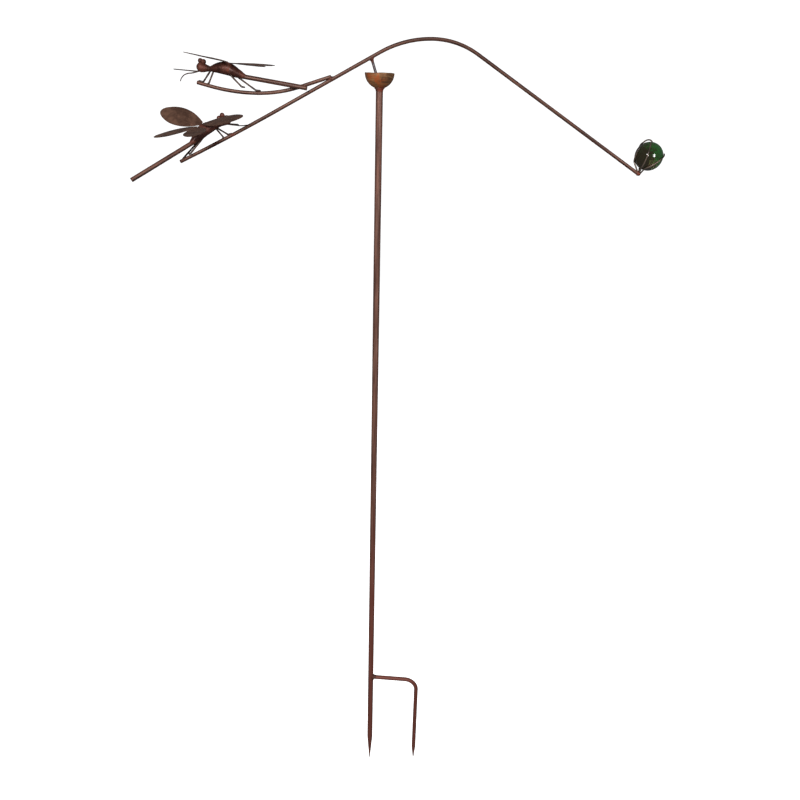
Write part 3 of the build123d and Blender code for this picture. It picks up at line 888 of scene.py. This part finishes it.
def eye_mesh(fly, centre):
    """A ball with a bead of weld round its foot."""
    middle = fly.at(*centre)

    def shape(spot, outward, q, r, h):
        return spot + (spot - middle) / EYE_R * 0.09 * waver(spot, 2.0, 60.0)

    ball = lathe_mesh(round_profile(EYE_R, 25), middle, fly.z, 36, shape)
    foot = oval(middle - fly.z * (EYE_R * 0.78), fly.x, fly.y, EYE_R * 0.55, EYE_R * 0.55, 36)
    return joined(ball, bead_mesh(foot, 0.7, 12, 8, 61.0))


def wing_outline():
    """Half widths along the blade: the clamped spline of the CAD outline, closer together towards the tip."""
    knots = vec(
        [0, WING_ROOT / 2],
        [WING_LENGTH * 0.28, WING_WIDTH * 0.40],
        [WING_LENGTH * 0.57, WING_WIDTH / 2],
        [WING_LENGTH * 0.86, WING_WIDTH * 0.34],
        [WING_LENGTH, 0],
    )
    chords = np.concatenate(([0], np.cumsum(np.linalg.norm(np.diff(knots, axis=0), axis=1))))
    speeds = (unit(vec(1.0, 0.6)), vec(0.0, -1.0))
    fine = np.linspace(0, chords[-1], 400)
    x, y = (clamped(chords, knots[:, i], speeds[0][i], speeds[1][i], fine) for i in (0, 1))
    x = np.maximum.accumulate(np.clip(x, 0, WING_LENGTH))
    share = np.concatenate((np.linspace(0, 0.8, 34), 0.8 + 0.2 * np.sin(np.linspace(0, math.pi / 2, 19))[1:]))
    halves = np.interp(share * WING_LENGTH, x + np.arange(400) * 1e-7, y)
    halves[-1] = 0.0
    return share, halves


def wing_mesh(fly, root, sweep, rise, roll, seed):
    """A blade cut from sheet: crowned across, curled at its tip, hammered, with its edge ground."""
    spot = fly.matrix() @ Matrix.Translation(root) @ Matrix.Rotation(math.radians(sweep), 4, "Z")
    spot = spot @ Matrix.Rotation(math.radians(-rise), 4, "Y") @ Matrix.Rotation(math.radians(roll), 4, "X")
    share, halves = wing_outline()
    across = np.sin(np.linspace(-math.pi / 2, math.pi / 2, 23))
    sheets = []
    for face in (1, -1):
        rows = []
        for s, half in zip(share, halves):
            row = []
            for c in across:
                x, y = s * WING_LENGTH, c * max(half, 0.15)
                crown = 0.9 * (half / WING_WIDTH * 2) * (1 - c * c) - 0.3
                curl = WING_CURL * (max(0.0, s - CURL_FROM) / (1 - CURL_FROM)) ** 2
                vein = -0.16 * math.exp(-(y**2) / 0.9) * (1 - s)
                dent = 0.16 * waver((x, y, seed * 5), 11.0, seed) + 0.07 * waver((x, y, seed), 4.5, seed + 2)
                edge = max(abs(c) ** 8, max(0.0, (s - 0.93) / 0.07) ** 2)
                z = crown + curl + vein * face + dent + face * WING_T / 2 * (1 - 0.35 * edge)
                row.append(np.array(spot @ Vector((x, y, z))))
            rows.append(row)
        sheets.append(rows)
    verts, rim, bar = [], [], []
    columns, rows = len(across), len(share)
    for face in (0, 1):
        for i in range(rows):
            for j in range(columns):
                verts.append(sheets[face][i][j])
                edge = max(abs(across[j]) ** 10, max(0.0, (share[i] - 0.95) / 0.05))
                rim.append(0.75 * edge)
                bar.append((across[j] * halves[i], face * 3.0, share[i] * WING_LENGTH + 100 * seed))
    faces = []
    size = rows * columns
    for i in range(rows - 1):
        for j in range(columns - 1):
            a = i * columns + j
            faces.append((a, a + columns, a + columns + 1, a + 1))
            faces.append((size + a, size + a + 1, size + a + columns + 1, size + a + columns))
    border = [(0, j) for j in range(columns)] + [(i, columns - 1) for i in range(1, rows)]
    border += [(rows - 1, j) for j in range(columns - 2, -1, -1)] + [(i, 0) for i in range(rows - 2, 0, -1)]
    ids = [i * columns + j for i, j in border]
    for a, b in zip(ids, ids[1:] + ids[:1]):
        faces.append((a, b, size + b, size + a))
    return verts, faces, bar, rim


def build_dragonfly(fly, tail_rear, wings, legs, eyes, antennae):
    name = fly.name

    def place(label, mesh, material, slot, node):
        mesh_object(f"{name}_{label}", *mesh[:2], material, "rocker", slot, [f"{name}_{node}"], *mesh[2:])

    place("tail_tube", tail_mesh(fly, tail_rear), ROD, "rusted_rod", "tail")
    place("thorax_shell", thorax_mesh(fly), BODY, "rusted_body", "thorax")
    place("head_cone", head_mesh(fly), BODY, "rusted_body", "head")
    for side, centre in eyes.items():
        place(f"eye_ball_{side}", eye_mesh(fly, centre), BODY, "rusted_body", f"eye_{side}")
    for side, points in antennae.items():
        path = soft_path([fly.at(*p) for p in points], 0.8, 5.0)
        radii = np.linspace(ANTENNA_R * 1.1, ANTENNA_R * 0.75, len(path))
        mesh = bar_mesh(path, radii, 14, ("square", "round"), 0.04, 70.0)
        place(f"feeler_{side}", mesh, WIRE, "dark_wire", f"antenna_{side}")
    for side, (hip, *feet) in legs.items():
        path = soft_path([fly.at(*hip)] + [PIVOT + vec(*p) for p in feet], 0.8, 2.0)
        share = np.linspace(0, 1, len(path))
        radii = LEG_R * (1.0 + 0.1 * np.sin(share * math.pi * 2) ** 2)
        mesh = bar_mesh(path, radii, 16, ("square", "round"), 0.08, 80.0)
        place(f"wire_leg_{side}", mesh, WIRE, "dark_wire", f"leg_{side}")
    for seed, (side, (root, sweep, rise, roll)) in enumerate(wings.items()):
        mesh = wing_mesh(fly, root, sweep, rise, roll, seed + 1.0)
        place(f"blade_{side}", mesh, SHEET, "sheet_steel", f"wing_{side}")


def build_dragonflies():
    build_dragonfly(
        Fly("upper", (-262, -3, 11.5), (-1, 0, 0), 8, -4),
        -138,
        {
            "front_left": ((8, 4.5, 18.6), 59, 3, 0),
            "front_right": ((8, -4.5, 18.6), -46, 1, 0),
            "rear_left": ((-3, 4.5, 17.8), 143, 3.5, 0),
            "rear_right": ((-3, -4.5, 17.8), -131, 5.5, 0),
        },
        {
            "front_left": ((32, 3, 0), (-308.3, -1.5, -2.6), (-316.0, -1.5, -0.6)),
            "front_right": ((28.5, -3, 0), (-299.8, 1.5, -5.2), (-302.5, 1.5, -4.4)),
            "rear_left": ((-4, 6, -1), (-239.5, -11, -8.7), (-234, -11, -9.2)),
            "rear_right": ((-6, -4.5, 1.5), (-217, 0, -13.7), (-209, 0, -14.0)),
        },
        {"left": (45, 3.5, 12.4), "right": (53, -3.5, 12.8)},
        {
            "left": ((50, 3, -3), (62, 3, -8.5), (72, 3, -11), (78.5, 3, -14.5), (83, 3, -21), (84, 3, -26)),
            "right": ((50, -3, -2), (56.5, -3.5, -5), (101, -7, -8.5)),
        },
    )
    build_dragonfly(
        Fly("lower", (-313, 0, -91.2), (1, 0, 0), -29, 28),
        -153,
        {
            "front_left": ((8, 4.5, 18.6), 123, 30, -22),
            "front_right": ((8, -4.5, 18.6), -53, -8, 0),
            "rear_left": ((-3, 4.5, 17.8), 141, 10, 3),
            "rear_right": ((-3, -4.5, 17.8), -112, 4, -18),
        },
        {
            "front_left": ((27, 3, 0), (-270.5, 1.5, -88.8), (-264, 1.5, -86.5)),
            "front_right": ((24, -3, 0), (-278.2, -2.5, -93.5), (-280.5, -2.5, -95.6)),
            "rear_left": ((-6, 3, -1), (-353.3, 1.0, -130.4), (-356, 1.0, -133.0)),
            "rear_right": ((-4, -5, -1), (-338, -9, -122), (-341, -9, -123.5)),
        },
        {"left": (39.8, 3.1, 11.4), "right": (46, -3, 13.8)},
        {
            "left": ((47, 3, -3.5), (66, 5, -15), (65, 6, -18.5)),
            "right": ((46, -3, -3.5), (64, -12.5, -16), (80, -14.5, -22.5)),
        },
    )


# ---- room, lights and camera -----------------------------------------------------------------
def build_stage():
    """A pale round floor that curves up into a wall all round; it lights nothing but itself."""
    floor = float(cad_bounds[0][2]) - 0.0005
    section = [(1.0, floor), (3.0, floor), (STAGE_R - STAGE_BEND, floor)]
    for q in np.radians(range(6, 91, 6)):
        section.append((STAGE_R - STAGE_BEND * (1 - math.sin(q)), floor + STAGE_BEND * (1 - math.cos(q))))
    section.append((STAGE_R, STAGE_WALL))
    sides = 96
    turns = np.linspace(0, 2 * math.pi, sides + 1)[:-1]
    verts = [(r * math.cos(q), r * math.sin(q), z) for r, z in section for q in turns]
    faces = [face[::-1] for face in grid_faces(len(section), sides)]
    faces.append(tuple(range(sides)))
    mesh = bpy.data.meshes.new("studio_floor")
    mesh.from_pydata(verts, [], faces)
    paper = Nodes("studio_paper")
    tint = paper.mix(paper.noise(paper.object_coords(), 3, 2), (0.86, 0.86, 0.86, 1), (0.88, 0.88, 0.88, 1))
    paper.link(tint, paper.shader.inputs["Base Color"])
    paper.shader.inputs["Roughness"].default_value = 0.9
    paper.shader.inputs["Emission Color"].default_value = (1, 1, 1, 1)
    paper.shader.inputs["Emission Strength"].default_value = 0.88
    mesh.materials.append(paper.material)
    obj = bpy.data.objects.new("studio_floor", mesh)
    bpy.context.scene.collection.objects.link(obj)
    obj.visible_diffuse = False
    obj.visible_glossy = False
    obj.visible_shadow = False


def build_lights():
    """Four soft lamps over a dim world. Their powers are in watts and their sizes in metres."""

    def area(name, at, aim, size, power, tint=(1, 1, 1), mirrored=True):
        data = bpy.data.lights.new(name, "AREA")
        data.shape = "RECTANGLE"
        data.size, data.size_y = size
        data.energy = power
        data.color = tint
        obj = bpy.data.objects.new(name, data)
        bpy.context.scene.collection.objects.link(obj)
        obj.visible_glossy = mirrored
        obj.location = at
        obj.rotation_euler = (Vector(aim) - Vector(at)).to_track_quat("-Z", "Y").to_euler()

    area("key_soft", (-0.9, -2.7, 2.1), (0.0, 0.0, 0.9), (0.9, 0.9), 96, (1.0, 0.98, 0.96))
    area("fill_soft", (1.7, -2.4, 1.7), (0.0, 0.0, 0.8), (0.6, 1.0), 44, (0.99, 0.99, 1.0))
    area("top_soft", (0.2, 0.4, 3.4), (0.0, 0.0, 0.8), (2.0, 1.4), 5, mirrored=False)
    area("back_soft", (0.0, 2.6, 2.2), (0.0, 0.0, 0.9), (2.4, 1.6), 34, mirrored=False)
    world = bpy.data.worlds.new("studio_world")
    world.use_nodes = True
    world.node_tree.nodes["Background"].inputs["Color"].default_value = (0.95, 0.97, 1.0, 1)
    world.node_tree.nodes["Background"].inputs["Strength"].default_value = 0.16
    bpy.context.scene.world = world


def build_camera():
    data = bpy.data.cameras.new("photo_camera")
    data.sensor_width = 36.0
    data.lens = 34.2
    obj = bpy.data.objects.new("photo_camera", data)
    bpy.context.scene.collection.objects.link(obj)
    tilt = Matrix.Rotation(math.radians(90 - 22.3), 4, "X") @ Matrix.Rotation(math.radians(1.63), 4, "Z")
    obj.matrix_world = Matrix.Translation((0.0515, -1.439, 1.3208)) @ tilt
    bpy.context.scene.camera = obj


build_stake()
build_cup()
build_arm()
build_pin()
build_ball()
build_dragonflies()
build_stage()
build_lights()
build_camera()
bpy.context.scene.view_settings.view_transform = "Standard"
